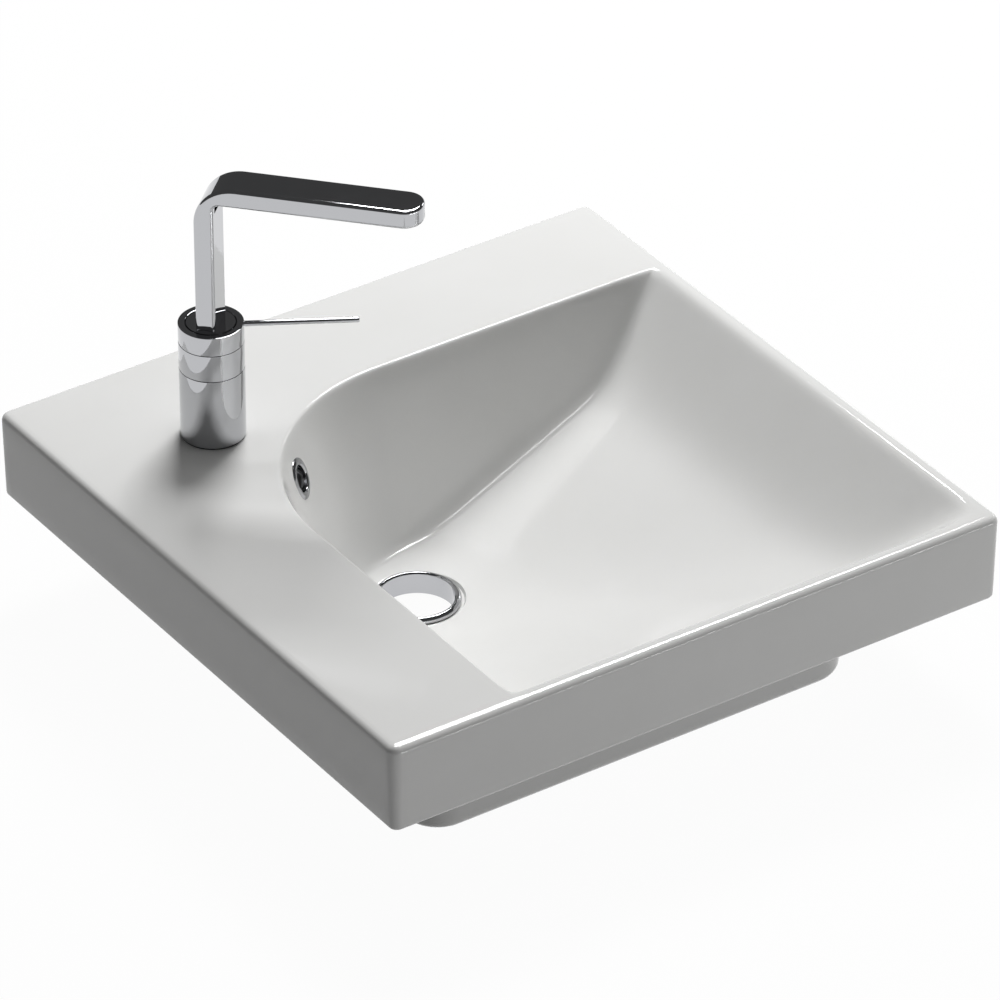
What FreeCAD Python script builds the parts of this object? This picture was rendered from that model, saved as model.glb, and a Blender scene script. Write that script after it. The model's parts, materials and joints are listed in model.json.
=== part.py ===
import FreeCAD, Part
import math
import os
import re

import Sketcher

doc = FreeCAD.newDocument("scoop_basin")
sheet = doc.addObject("Spreadsheet::Sheet", "Sizes")

# Driving dimensions in millimetres and degrees
# The origin is the middle of the foot, on the countertop. +X is right, +Y is the back, +Z is up.
driving_sizes = {
    # Basin slab
    "basin_width": 500,
    "basin_depth": 500,
    "basin_height": 143,
    "apron_height": 67,
    "apron_draft": 1.2,
    "apron_corner_radius": 8,
    "deck_edge_radius": 5,
    "apron_edge_radius": 3,
    "deck_thickness": 12,
    "shell_wall": 11,
    # Bowl, a scoop that is deepest near the tap and runs out at the front and right rims
    "left_deck": 102,
    "back_deck": 102,
    "rim_width": 12,
    "bowl_corner_radius": 148,
    "bowl_depth": 121,
    "bowl_wall_angle": 70,
    "bank_angle": 46.5,
    "ramp_angle": 18.5,
    "ramp_length": 230,
    "crease_blend": 20,
    "bank_blend": 16,
    "valley_blend": 24,
    "bottom_blend": 10,
    # Foot below the apron
    "foot_left_inset": 72,
    "foot_back_inset": 72,
    "foot_right_inset": 70,
    "foot_front_inset": 70,
    "foot_corner_radius": 28,
    "foot_round_radius": 190,
    "foot_wall": 15,
    "foot_edge_radius": 9,
    # Waste
    "drain_from_left": 210.5,
    "drain_from_back": 210.5,
    "drain_bore_radius": 27,
    "drain_sleeve_wall": 1.5,
    "drain_hole_clearance": 0.5,
    "drain_flange_radius": 31.5,
    "drain_flange_edge": 1.8,
    "drain_flange_rise": 4.2,
    "drain_crest_width": 1.6,
    "drain_bore_chamfer": 1,
    "seat_gasket_thickness": 0.8,
    "drain_wall": 6.5,
    "drain_recess_radius": 42,
    "drain_seat_clearance": 2.5,
    "drain_seat_sink": 0.4,
    "under_gasket_thickness": 1.5,
    "ring_nut_height": 4,
    "ring_nut_radius": 37,
    # Overflow
    "overflow_drop": 29.5,
    "overflow_bore_radius": 9.5,
    "overflow_sleeve_wall": 1,
    "overflow_ring_radius": 15,
    "overflow_ring_thickness": 1.8,
    "overflow_sleeve_length": 8,
    "overflow_seat_sink": 0.4,
    "overflow_seat_clearance": 0.4,
    # Tap, heights above the deck
    "tap_from_left": 110.5,
    "tap_from_back": 107.5,
    "tap_radius": 23,
    "base_seal_thickness": 1,
    "tap_body_top": 55.3,
    "tap_floor_top": 12,
    "tap_floor_thickness": 3,
    "glide_thickness": 0.4,
    "glide_inset": 0.4,
    "collar_height": 20.5,
    "hinge_gap": 0.3,
    "ring_height": 14.4,
    "ring_wall": 2.4,
    "ring_lip": 1.8,
    "ring_bore_radius": 18,
    "ring_edge_chamfer": 0.4,
    "running_clearance": 0.08,
    "slip_clearance": 0.3,
    # Lever and its hinge
    "lever_angle": -30.4,
    "lever_lift": 9,
    "lever_radius": 2,
    "lever_reach": 102.5,
    "lever_drop": 2.6,
    "lever_seat_radius": 19.5,
    "lever_end_chamfer": 0.4,
    "boss_inner": 19,
    "boss_half_width": 6,
    "set_screw_radius": 1.5,
    "set_screw_length": 6,
    "set_screw_position": 20.9,
    "pivot_radius": 18,
    "pivot_rise": 2.6,
    "pivot_pin_radius": 0.9,
    "pivot_pin_half_length": 12.6,
    "pivot_end_wall": 0.4,
    "lug_half_width": 3.5,
    "lug_half_thickness": 1.5,
    "lug_height": 4.4,
    # Valve core and sleeve
    "core_radius": 15.5,
    "disc_radius": 17.2,
    "disc_thickness": 1.8,
    "outlet_radius": 6.5,
    "outlet_floor_wall": 3,
    "port_radius": 1.6,
    "recess_radius": 21.2,
    "recess_height": 14,
    "sleeve_height": 4,
    "sleeve_window_radius": 1.2,
    "lift_pin_radius": 1,
    "lift_pin_position": 19.4,
    "lift_pin_offset": 3.4,
    "seal_section": 1.4,
    "seal_groove_width": 2,
    "low_seal_level": 20,
    "mid_seal_level": 48,
    "top_seal_drop": 3.2,
    "clip_thickness": 1,
    "clip_depth": 1.1,
    "clip_width": 1.8,
    # Spout
    "spout_angle": -47.5,
    "spout_top": 207,
    "spout_reach": 152,
    "spout_width": 29.5,
    "spout_thickness": 14,
    "spout_bend_radius": 30,
    "spout_inner_bend": 5,
    "spout_tip_radius": 13.5,
    "spout_edge_radius": 2.5,
    "spout_channel_width": 18,
    "spout_channel_depth": 6,
    "spigot_length": 12,
    "spigot_bore_radius": 3.5,
    "spigot_seal_drop": 6,
    "aerator_radius": 10.4,
    "aerator_setback": 15,
    "aerator_wall": 1.6,
    "aerator_depth": 5,
    "aerator_show": 1.2,
    "aerator_insert_height": 3.6,
    "aerator_hole_radius": 1.1,
    "aerator_hole_circle": 5.4,
    "aerator_hole_count": 10,
    # Fixing under the deck
    "tap_hole_radius": 17,
    "shank_radius": 16,
    "shank_wall": 2.4,
    "shank_length": 50,
    "base_seal_inset": 0.6,
    "clamp_radius": 26,
    "clamp_clearance": 0.6,
    "deck_gasket_thickness": 3,
    "clamp_washer_thickness": 2,
    "mounting_nut_flats": 41,
    "mounting_nut_height": 9,
    "inlet_offset": 8,
    "inlet_radius": 5,
    "inlet_bore_radius": 2.5,
    "inlet_length": 58,
    "socket_radius": 6.5,
    "socket_length": 14,
    "socket_bore_radius": 4.6,
    "socket_bore_depth": 11,
}
for row, (alias, value) in enumerate(driving_sizes.items(), start=1):
    sheet.set("A%d" % row, alias.replace("_", " "))
    sheet.set("B%d" % row, str(value))
    sheet.setAlias("B%d" % row, alias)
doc.recompute()

# Number of sample rows each way on the scoop surface
scoop_rows = 56


def size(formula):
    # Turns a formula of aliases, such as "tap_radius - ring_wall", into one that names the sheet
    return re.sub("[a-z_]+", lambda word: sheet_name(word.group()), formula)


def sheet_name(word):
    return "Sizes." + word if word in driving_sizes else word


def number(formula):
    return float(sheet.evalExpression(size(formula)))


def bind(thing, **formulas):
    for prop, formula in formulas.items():
        thing.setExpression(prop.replace("__", "."), size(formula))


# Levels of the tap above the deck, and places in plan
ring_bottom = "tap_body_top + glide_thickness + collar_height + hinge_gap"
collar_bottom = "tap_body_top + glide_thickness"
collar_top = collar_bottom + " + collar_height"
ring_top = ring_bottom + " + ring_height"
pivot_level = collar_top + " + pivot_rise"
lever_level = ring_top + " - lever_drop"
sleeve_bottom = collar_bottom + " + slip_clearance"
sleeve_top = sleeve_bottom + " + sleeve_height"
supply_level = sleeve_bottom + " + sleeve_height / 2"
recess_top = collar_bottom + " + recess_height"
outlet_floor = supply_level + " + port_radius + outlet_floor_wall"
outlet_level = recess_top + " - 2 * port_radius"
hollow_radius = "tap_radius - ring_wall"
tap_x = "tap_from_left - basin_width / 2"
tap_y = "basin_depth / 2 - tap_from_back"
drain_x = "drain_from_left - basin_width / 2"
drain_y = "basin_depth / 2 - drain_from_back"
drain_seat_level = "basin_height - bowl_depth - drain_seat_sink"
sleeve_radius = "drain_bore_radius + drain_sleeve_wall"


# Placing and drawing helpers
def place(thing, x="0", y="0", z="0", turn="0"):
    thing.Placement = FreeCAD.Placement(
        FreeCAD.Vector(number(x), number(y), number(z)),
        FreeCAD.Rotation(FreeCAD.Vector(0, 0, 1), number(turn)),
    )
    bind(thing, Placement__Base__x=x, Placement__Base__y=y, Placement__Base__z=z)
    thing.setExpression("Placement.Rotation.Angle", "(" + size(turn) + ") * 1 deg")
    return thing


def on_tap(thing, turn="0"):
    return place(thing, tap_x, tap_y, "basin_height", turn)


def at_drain(thing):
    return place(thing, drain_x, drain_y, drain_seat_level)


def named(thing, label):
    thing.Label = label
    return thing


def new_sketch(body, role):
    sketch = body.newObject("Sketcher::SketchObject", body.Name + "_sketch")
    plane = [item for item in body.Origin.OriginFeatures if item.Role == role][0]
    sketch.AttachmentSupport = [(plane, "")]
    sketch.MapMode = "FlatFace"
    return sketch


def fix_point(sketch, edge, end, across, along):
    # Ties one end of a sketch edge to its distances from the sketch origin
    for kind, formula in (("DistanceX", across), ("DistanceY", along)):
        index = sketch.addConstraint(Sketcher.Constraint(kind, -1, 1, edge, end, number(formula)))
        sketch.setExpression("Constraints[%d]" % index, size(formula))


def draw_polygon(sketch, corners):
    spots = [FreeCAD.Vector(number(across), number(along), 0) for across, along in corners]
    count = len(spots)
    for index in range(count):
        sketch.addGeometry(Part.LineSegment(spots[index], spots[(index + 1) % count]), False)
    for index in range(count):
        sketch.addConstraint(Sketcher.Constraint("Coincident", index, 2, (index + 1) % count, 1))
    for index, (across, along) in enumerate(corners):
        fix_point(sketch, index, 1, across, along)


def draw_circle(sketch, across, along, radius):
    middle = FreeCAD.Vector(number(across), number(along), 0)
    edge = sketch.addGeometry(Part.Circle(middle, FreeCAD.Vector(0, 0, 1), number(radius)), False)
    fix_point(sketch, edge, 3, across, along)
    index = sketch.addConstraint(Sketcher.Constraint("Radius", edge, number(radius)))
    sketch.setExpression("Constraints[%d]" % index, size(radius))


def draw_rounded_outline(sketch, left, right, front, back, radii):
    # Corners go round from front left, and each has its own radius
    xs, ys = (number(left), number(right)), (number(front), number(back))
    corners = [(xs[0], ys[0], 1, 1), (xs[1], ys[0], -1, 1), (xs[1], ys[1], -1, -1), (xs[0], ys[1], 1, -1)]
    starts = (180, 270, 0, 90)
    ends = []
    for (x, y, inward_x, inward_y), radius, start in zip(corners, radii, starts):
        middle = FreeCAD.Vector(x + inward_x * number(radius), y + inward_y * number(radius), 0)
        circle = Part.Circle(middle, FreeCAD.Vector(0, 0, 1), number(radius))
        arc = Part.ArcOfCircle(circle, math.radians(start), math.radians(start + 90))
        ends.append((arc.StartPoint, arc.EndPoint))
        sketch.addGeometry(arc, False)
    for index in range(4):
        sketch.addGeometry(Part.LineSegment(ends[index][1], ends[(index + 1) % 4][0]), False)
    for index in range(4):
        sketch.addConstraint(Sketcher.Constraint("Tangent", index, 2, 4 + index, 1))
        sketch.addConstraint(Sketcher.Constraint("Tangent", 4 + index, 2, (index + 1) % 4, 1))
        kind = ("Horizontal", "Vertical")[index % 2]
        sketch.addConstraint(Sketcher.Constraint(kind, 4 + index))
    for index, radius in enumerate(radii):
        pin = sketch.addConstraint(Sketcher.Constraint("Radius", index, number(radius)))
        sketch.setExpression("Constraints[%d]" % pin, size(radius))
    sides = (("DistanceY", 4, front), ("DistanceX", 5, right), ("DistanceY", 6, back), ("DistanceX", 7, left))
    for kind, edge, formula in sides:
        pin = sketch.addConstraint(Sketcher.Constraint(kind, -1, 1, edge, 1, number(formula)))
        sketch.setExpression("Constraints[%d]" % pin, size(formula))


def feature(body, kind, name, **settings):
    made = body.newObject("PartDesign::" + kind, body.Name + "_" + name)
    for prop, setting in settings.items():
        setattr(made, prop, setting)
    body.Tip = made
    return made


def round_edges(body, name, radius, chosen):
    # Rounds the edges of the body that the test picks out
    doc.recompute()
    base = body.Tip
    picked = ["Edge%d" % (index + 1) for index, edge in enumerate(base.Shape.Edges) if chosen(edge)]
    rounding = feature(body, "Fillet", name, Base=(base, picked))
    bind(rounding, Radius=radius)
    return rounding


def turned(name, profile):
    # A body of revolution about Z from (radius, height) corners
    body = doc.addObject("PartDesign::Body", name)
    sketch = new_sketch(body, "XZ_Plane")
    draw_polygon(sketch, profile)
    feature(body, "Revolution", "turn", Profile=sketch, ReferenceAxis=(sketch, ["V_Axis"]), Angle=360)
    return body


def ring(name, inner, outer, bottom, top):
    return turned(name, [(inner, bottom), (outer, bottom), (outer, top), (inner, top)])


def padded_outline(name, left, right, front, back, radii, length, downward):
    body = doc.addObject("PartDesign::Body", name)
    sketch = new_sketch(body, "XY_Plane")
    draw_rounded_outline(sketch, left, right, front, back, radii)
    pad = feature(body, "Pad", "pad", Profile=sketch, Reversed=downward)
    bind(pad, Length=length)
    return body


def cylinder(name, radius, length, x="0", y="0", z="0", along="z"):
    rod = doc.addObject("Part::Cylinder", name)
    bind(rod, Radius=radius, Height=length)
    turns = {
        "z": FreeCAD.Rotation(),
        "x": FreeCAD.Rotation(FreeCAD.Vector(0, 1, 0), 90),
        "y": FreeCAD.Rotation(FreeCAD.Vector(1, 0, 0), -90),
    }
    rod.Placement.Rotation = turns[along]
    bind(rod, Placement__Base__x=x, Placement__Base__y=y, Placement__Base__z=z)
    return rod


def block(name, x, y, z, length, width, height):
    box = doc.addObject("Part::Box", name)
    bind(box, Length=length, Width=width, Height=height)
    bind(box, Placement__Base__x=x, Placement__Base__y=y, Placement__Base__z=z)
    return box


def joined(name, *pieces):
    fuse = doc.addObject("Part::MultiFuse", name)
    fuse.Shapes = list(pieces)
    return fuse


def cut(name, base, *tools):
    tool = tools[0] if len(tools) == 1 else joined(name + "_tools", *tools)
    result = doc.addObject("Part::Cut", name)
    result.Base = base
    result.Tool = tool
    return result


def carved(name, base, *tools):
    # Takes the tools away one after the other
    for index, tool in enumerate(tools):
        base = cut("%s_%d" % (name, index), base, tool)
    return base


def level(edge, height):
    return all(abs(vertex.Z - height) < 1e-4 for vertex in edge.Vertexes)


# Scoop of the bowl
def soft_min(first, second, blend):
    overlap = max(blend - abs(first - second), 0.0) / blend
    return min(first, second) - overlap * overlap * blend / 4


def scoop_depth(x, y, wall):
    # Depth below the deck of the bowl surface, or of a surface lying one wall thickness outside it
    left = number("left_deck - basin_width / 2")
    back = number("basin_depth / 2 - back_deck")
    radius = number("bowl_corner_radius")
    from_corner = (left + radius - x, y - back + radius)
    if min(from_corner) > 0:
        inside = radius - math.hypot(*from_corner)
    else:
        inside = min(x - left, back - y)
    angles = [math.radians(number(name)) for name in ("bowl_wall_angle", "bank_angle", "ramp_angle")]
    steep, bank, ramp = [math.tan(angle) for angle in angles]
    steep_wall, bank_wall, ramp_wall = [wall / math.cos(angle) for angle in angles]
    runs = []
    for run in (number("basin_width / 2 - rim_width") - x, y + number("basin_depth / 2 - rim_width")):
        slope = number("bowl_depth") + (run - number("ramp_length")) * ramp + ramp_wall
        runs.append(soft_min(run * bank + bank_wall, slope, number("bank_blend")))
    valley = soft_min(runs[0], runs[1], number("valley_blend"))
    floor = soft_min(valley, number("bowl_depth") + wall, number("bottom_blend"))
    return soft_min(inside * steep + steep_wall, floor, number("crease_blend"))


def scoop_space(name, wall):
    # The space above the scoop surface, as one solid
    spare = number("rim_width") + wall
    low_x = number("left_deck - basin_width / 2") - spare
    high_x = number("basin_width / 2") + spare
    low_y = -number("basin_depth / 2") - spare
    high_y = number("basin_depth / 2 - back_deck") + spare
    deck = number("basin_height")
    steps = [index / (scoop_rows - 1) for index in range(scoop_rows)]
    grid = []
    for across in steps:
        x = low_x + across * (high_x - low_x)
        ys = [low_y + along * (high_y - low_y) for along in steps]
        grid.append([FreeCAD.Vector(x, y, deck - scoop_depth(x, y, wall)) for y in ys])
    surface = Part.BSplineSurface()
    surface.interpolate(grid)
    space = doc.addObject("Part::Feature", name)
    space.Shape = surface.toShape().extrude(FreeCAD.Vector(0, 0, 2 * deck))
    return space


# Basin casting
def make_basin():
    half_x, half_y = "basin_width / 2", "basin_depth / 2"
    corners = ["apron_corner_radius"] * 4
    apron_sides = ["0 - " + half_x, half_x, "0 - " + half_y, half_y]
    apron = padded_outline("apron", *apron_sides, corners, "apron_height", True)
    bind(apron.Tip, TaperAngle="0 - apron_draft")
    round_edges(apron, "deck_edge", "deck_edge_radius", lambda edge: level(edge, 0))
    low = -number("apron_height")
    round_edges(apron, "low_edge", "apron_edge_radius", lambda edge: level(edge, low))
    place(apron, z="basin_height")

    foot_sides = ["foot_left_inset - " + half_x, half_x + " - foot_right_inset",
                  "foot_front_inset - " + half_y, half_y + " - foot_back_inset"]
    foot_radii = ["foot_corner_radius", "foot_corner_radius", "foot_corner_radius", "foot_round_radius"]
    under_deck = "basin_height - deck_thickness"
    foot = padded_outline("foot", *foot_sides, foot_radii, under_deck, False)
    round_edges(foot, "edge", "foot_edge_radius", lambda edge: level(edge, 0))

    inner_sides = [foot_sides[0] + " + foot_wall", foot_sides[1] + " - foot_wall",
                   foot_sides[2] + " + foot_wall", foot_sides[3] + " - foot_wall"]
    inner_radii = [radius + " - foot_wall" for radius in foot_radii]
    foot_inside = padded_outline("foot_inside", *inner_sides, inner_radii, under_deck, False)

    skin = "apron_height * tan(apron_draft * 1 deg) + shell_wall"
    slab_sides = ["0 - " + half_x + " + " + skin, half_x + " - ( " + skin + " )",
                  "0 - " + half_y + " + " + skin, half_y + " - ( " + skin + " )"]
    slab_inside = padded_outline("slab_inside", *slab_sides, corners, "apron_height - deck_thickness", False)
    place(slab_inside, z="basin_height - apron_height")

    shell_space = scoop_space("shell_space", number("shell_wall"))
    bowl_space = scoop_space("bowl_space", 0.0)
    slab_hollow = carved("slab_hollow", slab_inside, foot, shell_space)
    foot_hollow = cut("foot_hollow", foot_inside, shell_space)

    drain_hole = cylinder("drain_hole", sleeve_radius + " + drain_hole_clearance",
                          "basin_height", drain_x, drain_y)
    drain_recess = cylinder("drain_recess", "drain_recess_radius", drain_seat_level + " - drain_wall",
                            drain_x, drain_y)
    drain_seat = cylinder("drain_seat", "drain_flange_radius + drain_seat_clearance", "drain_flange_radius",
                          drain_x, drain_y, drain_seat_level)
    tap_hole = cylinder("tap_hole", "tap_hole_radius", "3 * deck_thickness", tap_x, tap_y,
                        "basin_height - 2 * deck_thickness")
    overflow_seat = cylinder("overflow_seat", "overflow_ring_radius + overflow_seat_clearance", "shell_wall")
    overflow_hole = cylinder("overflow_hole", "overflow_bore_radius + overflow_sleeve_wall", "4 * shell_wall",
                             z="0 - 3 * shell_wall")
    overflow_cut = joined("overflow_cut", overflow_seat, overflow_hole)
    set_in_overflow(overflow_cut)

    outer = joined("basin_outer", apron, foot)
    basin = carved("basin", outer, bowl_space, slab_hollow, foot_hollow, drain_hole, drain_recess,
                drain_seat, tap_hole, overflow_cut)
    return named(basin, "basin_body")


def set_in_overflow(thing):
    # The overflow looks out of the rounded corner wall, square to it, on the diagonal of the basin
    slant = "bowl_wall_angle * 1 deg"
    from_middle = "bowl_corner_radius - overflow_drop / tan(" + slant + ")"
    from_middle += " + overflow_seat_sink * sin(" + slant + ")"
    back_out = "( " + from_middle + " ) * sqrt(0.5)"
    lean = FreeCAD.Rotation(FreeCAD.Vector(1, 1, 0), number("bowl_wall_angle"))
    thing.Placement.Rotation = lean
    thing.setExpression("Placement.Rotation.Angle", size(slant))
    bind(thing, Placement__Base__x="left_deck - basin_width / 2 + bowl_corner_radius - " + back_out)
    bind(thing, Placement__Base__y="basin_depth / 2 - back_deck - bowl_corner_radius + " + back_out)
    bind(thing, Placement__Base__z="basin_height - overflow_drop - overflow_seat_sink * cos(" + slant + ")")
    return thing


def make_overflow_ring():
    outer = "overflow_bore_radius + overflow_sleeve_wall"
    trim = turned("overflow_trim", [
        ("overflow_bore_radius", "0 - overflow_sleeve_length"),
        (outer, "0 - overflow_sleeve_length"),
        (outer, "0"),
        ("overflow_ring_radius", "0"),
        ("overflow_ring_radius", "overflow_ring_thickness / 2"),
        (outer + " + overflow_ring_thickness", "overflow_ring_thickness"),
        (outer, "overflow_ring_thickness"),
        ("overflow_bore_radius", "overflow_ring_thickness / 2"),
    ])
    set_in_overflow(trim)
    return named(trim, "overflow_ring")


# Waste
def make_waste():
    below = "drain_wall + under_gasket_thickness + ring_nut_height"
    seat = "seat_gasket_thickness"
    crest = seat + " + drain_flange_rise"
    flange = turned("flange", [
        ("drain_bore_radius", "0 - ( " + below + " )"),
        (sleeve_radius, "0 - ( " + below + " )"),
        (sleeve_radius, seat),
        ("drain_flange_radius", seat),
        ("drain_flange_radius", seat + " + drain_flange_edge"),
        ("drain_bore_radius + drain_bore_chamfer + drain_crest_width", crest),
        ("drain_bore_radius + drain_bore_chamfer", crest),
        ("drain_bore_radius", crest + " - drain_bore_chamfer"),
    ])
    seat_gasket = ring("seat_gasket", sleeve_radius, "drain_flange_radius - drain_hole_clearance", "0", seat)
    under_top = "0 - drain_wall"
    under_bottom = under_top + " - under_gasket_thickness"
    under_gasket = ring("under_gasket", sleeve_radius, "ring_nut_radius", under_bottom, under_top)
    nut = ring("ring_nut", sleeve_radius, "ring_nut_radius",
               under_bottom + " - ring_nut_height", under_bottom)
    return [
        named(at_drain(flange), "drain_flange"),
        named(at_drain(seat_gasket), "drain_seat_gasket"),
        named(at_drain(under_gasket), "drain_under_gasket"),
        named(at_drain(nut), "drain_ring_nut"),
    ]


# Fixed parts of the tap
def make_tap_body():
    floor_bottom = "tap_floor_top - tap_floor_thickness"
    bore = "core_radius + running_clearance"
    blank = turned("tap_body_blank", [
        ("0", floor_bottom),
        ("shank_radius", floor_bottom),
        ("shank_radius", "base_seal_thickness"),
        ("tap_radius", "base_seal_thickness"),
        ("tap_radius", "tap_body_top"),
        (bore, "tap_body_top"),
        (bore, "tap_floor_top"),
        ("0", "tap_floor_top"),
    ])
    length = "tap_floor_thickness + 2 * hinge_gap"
    start = floor_bottom + " - hinge_gap"
    holes = [cylinder("tap_floor_hole_" + side, "inlet_radius", length, y=sign + "inlet_offset", z=start)
             for side, sign in (("hot", "0 - "), ("cold", ""))]
    body = cut("tap_body", blank, *holes)
    return named(on_tap(body, "spout_angle"), "tap_body")


def make_fixing():
    seal = ring("seal_ring", "shank_radius + clamp_clearance", "tap_radius - base_seal_inset",
                "0", "base_seal_thickness")
    shank = ring("shank", "shank_radius - shank_wall", "shank_radius", "0 - shank_length",
                 "tap_floor_top - tap_floor_thickness")
    under = "0 - deck_thickness"
    gasket_low = under + " - deck_gasket_thickness"
    washer_low = gasket_low + " - clamp_washer_thickness"
    bore = "shank_radius + clamp_clearance"
    gasket = ring("gasket_ring", bore, "clamp_radius", gasket_low, under)
    washer = ring("washer_ring", bore, "clamp_radius", washer_low, gasket_low)
    prism = doc.addObject("Part::Prism", "nut_prism")
    prism.Polygon = 6
    bind(prism, Circumradius="mounting_nut_flats / sqrt(3)", Height="mounting_nut_height")
    bind(prism, Placement__Base__z=washer_low + " - mounting_nut_height")
    thread = cylinder("nut_thread", "shank_radius", "mounting_nut_height + 2 * hinge_gap",
                      z=washer_low + " - mounting_nut_height - hinge_gap")
    nut = cut("nut", prism, thread)
    return [
        named(on_tap(seal), "base_seal"),
        named(on_tap(shank), "mounting_shank"),
        named(on_tap(gasket), "deck_gasket"),
        named(on_tap(washer), "clamp_washer"),
        named(on_tap(nut), "mounting_nut"),
    ]


def make_inlet(label, sign):
    low = "0 - inlet_length"
    tail = turned(label + "_tail", [
        ("socket_bore_radius", low + " - socket_length"),
        ("socket_radius", low + " - socket_length"),
        ("socket_radius", low),
        ("inlet_radius", low),
        ("inlet_radius", "tap_floor_top"),
        ("inlet_bore_radius", "tap_floor_top"),
        ("inlet_bore_radius", low + " - socket_length + socket_bore_depth"),
        ("socket_bore_radius", low + " - socket_length + socket_bore_depth"),
    ])
    turn = "spout_angle * 1 deg"
    x = tap_x + " - (" + sign + "inlet_offset) * sin(" + turn + ")"
    y = tap_y + " + (" + sign + "inlet_offset) * cos(" + turn + ")"
    return named(place(tail, x, y, "basin_height"), label)


def groove(middle, width, bottom):
    # Corners of a groove in the outside of the core, going up
    low = middle + " - " + width + " / 2"
    high = middle + " + " + width + " / 2"
    return [("core_radius", low), (bottom, low), (bottom, high), ("core_radius", high)]


def make_valve_core():
    seal_bottom = "core_radius - seal_section - running_clearance"
    seal_levels = ["low_seal_level", "mid_seal_level", collar_top + " - top_seal_drop"]
    clip_level = collar_top + " + hinge_gap + clip_thickness / 2"
    disc_under = ring_top + " - disc_thickness"
    profile = [("0", "tap_floor_top"), ("core_radius", "tap_floor_top")]
    for seal_level in seal_levels:
        profile += groove(seal_level, "seal_groove_width", seal_bottom)
    profile += groove(clip_level, "clip_thickness", "core_radius - clip_depth")
    profile += [
        ("core_radius", disc_under),
        ("disc_radius", disc_under),
        ("disc_radius", ring_top),
        ("outlet_radius", ring_top),
        ("outlet_radius", outlet_floor),
        ("0", outlet_floor),
    ]
    blank = turned("core_blank", profile)
    supply_top = supply_level + " + port_radius"
    tools = []
    for side, sign in (("hot", "0 - "), ("cold", "")):
        rise = supply_top + " - tap_floor_top + hinge_gap"
        tools.append(cylinder("supply_" + side, "inlet_bore_radius", rise,
                              y=sign + "inlet_offset", z="tap_floor_top - hinge_gap"))
    tools.append(cylinder("hot_port", "port_radius", "core_radius - inlet_offset + hinge_gap",
                          y="0 - core_radius - hinge_gap", z=supply_level, along="y"))
    tools.append(cylinder("cold_port", "port_radius", "core_radius - inlet_offset + hinge_gap",
                          y="inlet_offset", z=supply_level, along="y"))
    tools.append(cylinder("outlet_ports", "port_radius", "2 * core_radius + 2 * hinge_gap",
                          x="0 - core_radius - hinge_gap", z=outlet_level, along="x"))
    core = cut("core", blank, *tools)
    seals = []
    for index, seal_level in enumerate(seal_levels):
        torus = doc.addObject("Part::Torus", "core_seal_%d" % index)
        bind(torus, Radius1="core_radius - seal_section / 2 - running_clearance / 2")
        bind(torus, Radius2="seal_section / 2")
        bind(torus, Placement__Base__z=seal_level)
        seals.append(torus)
    group = doc.addObject("Part::Compound", "core_seal_group")
    group.Links = seals
    clip_bottom = collar_top + " + hinge_gap"
    clip_inner = "core_radius - clip_depth"
    clip = ring("clip", clip_inner, clip_inner + " + clip_width",
                clip_bottom, clip_bottom + " + clip_thickness")
    glide = ring("glide", "recess_radius + glide_inset", "tap_radius - glide_inset",
                 "tap_body_top", collar_bottom)
    return [
        named(on_tap(core, "spout_angle"), "valve_core"),
        named(on_tap(group), "core_seals"),
        named(on_tap(clip), "retaining_clip"),
        named(on_tap(glide), "glide_washer"),
    ]


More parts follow.
